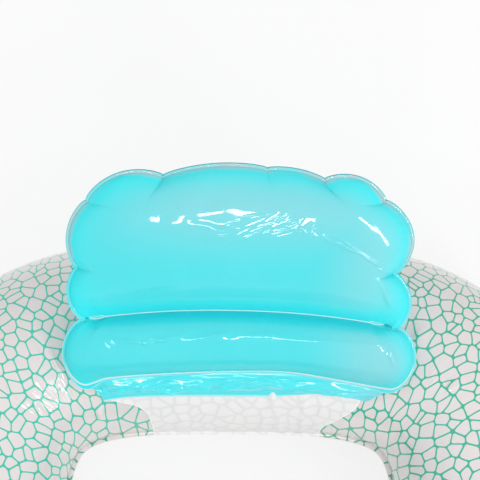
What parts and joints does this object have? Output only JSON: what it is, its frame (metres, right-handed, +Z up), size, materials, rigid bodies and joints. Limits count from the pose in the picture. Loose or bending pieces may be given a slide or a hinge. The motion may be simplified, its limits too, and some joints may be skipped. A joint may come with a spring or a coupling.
{
  "type": "swim ring",
  "caption": "Inflatable swim ring with a scalloped, quilted backrest that folds on a hinge flap, and push-in air valves.",
  "frame": {"origin": "on the floor under the middle of the ring", "axes": "+Z up out of the ring, +Y from the middle to the backrest, +X to the right as seen from the ring's front"},
  "size_m": [0.97, 0.9285, 0.4737],
  "materials": {
    "turquoise_vinyl": "glossy translucent film",
    "printed_vinyl": "glossy clear film printed with a cell pattern",
    "frosted_vinyl": "frosted film",
    "valve_vinyl": "soft moulded vinyl"
  },
  "bodies": {
    "ring": {"ring_upper_sheet": "printed_vinyl", "ring_lower_sheet": "printed_vinyl", "anchor_panel": "frosted_vinyl", "ring_valve_seat": "valve_vinyl"},
    "ring_stem": {"ring_valve_stem": "valve_vinyl"},
    "ring_check": {"ring_valve_check_flap": "valve_vinyl"},
    "ring_plug": {"ring_valve_plug": "valve_vinyl"},
    "backrest": {"backrest_front_sheet": "turquoise_vinyl", "backrest_back_sheet": "turquoise_vinyl", "backrest_flap": "turquoise_vinyl", "backrest_valve_seat": "valve_vinyl"},
    "backrest_stem": {"backrest_valve_stem": "valve_vinyl"},
    "backrest_check": {"backrest_valve_check_flap": "valve_vinyl"},
    "backrest_plug": {"backrest_valve_plug": "valve_vinyl"}
  },
  "joints": [
    {"name": "backrest_fold", "type": "hinge", "parent": "ring", "child": "backrest", "pos_m": [0, 0.22689, 0.21876], "axis": [1, 0, 0], "range_deg": [0, 90], "deforming": ["backrest_flap"]},
    {"name": "ring_valve_push", "type": "slide", "parent": "ring", "child": "ring_stem", "axis": [0, -0.8316, 0.5554], "range_m": [0, 0.011]},
    {"name": "ring_check_swing", "type": "hinge", "parent": "ring_stem", "child": "ring_check", "pos_m": [-0.0065, -0.41461, 0.1854], "axis": [0, 0.5554, 0.8316], "range_deg": [0, 60]},
    {"name": "ring_plug_pull", "type": "slide", "parent": "ring_stem", "child": "ring_plug", "axis": [0, -0.8316, 0.5554], "range_m": [0, 0.006]},
    {"name": "backrest_valve_push", "type": "slide", "parent": "backrest", "child": "backrest_stem", "axis": [0, 0.7071, -0.7071], "range_m": [0, 0.011]},
    {"name": "backrest_check_swing", "type": "hinge", "parent": "backrest_stem", "child": "backrest_check", "pos_m": [0.0865, 0.37677, 0.38135], "axis": [0, 0.7071, 0.7071], "range_deg": [0, 60]},
    {"name": "backrest_plug_pull", "type": "slide", "parent": "backrest_stem", "child": "backrest_plug", "axis": [0, 0.7071, -0.7071], "range_m": [0, 0.006]}
  ]
}
